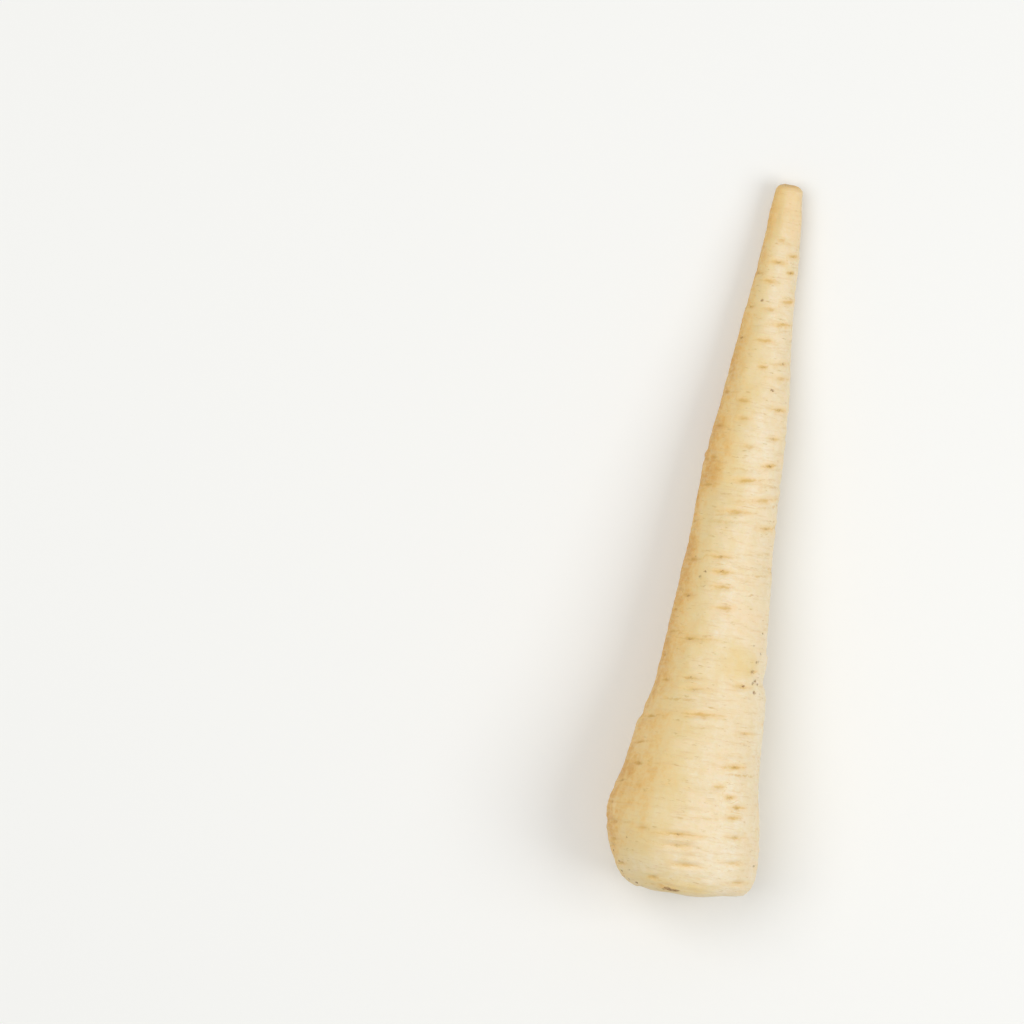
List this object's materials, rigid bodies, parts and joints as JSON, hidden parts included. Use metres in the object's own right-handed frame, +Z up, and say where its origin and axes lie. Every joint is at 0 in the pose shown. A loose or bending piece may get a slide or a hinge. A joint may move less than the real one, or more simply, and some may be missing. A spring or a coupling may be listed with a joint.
{
  "type": "parsnip",
  "caption": "Whole parsnip lying on its side: broad shoulder and hollow crown tapering to a blunt tail, with side-root scars and fine creases.",
  "frame": {"origin": "bottom centre of the root's box, on the surface that it lies on", "axes": "+X along the root from the crown to the tail, +Y to the side with the fuller shoulder, +Z up"},
  "size_m": [0.2049, 0.045, 0.0421],
  "materials": {
    "root_skin": "washed cream root skin, satin"
  },
  "bodies": {
    "root": {"root": "root_skin"}
  },
  "joints": []
}
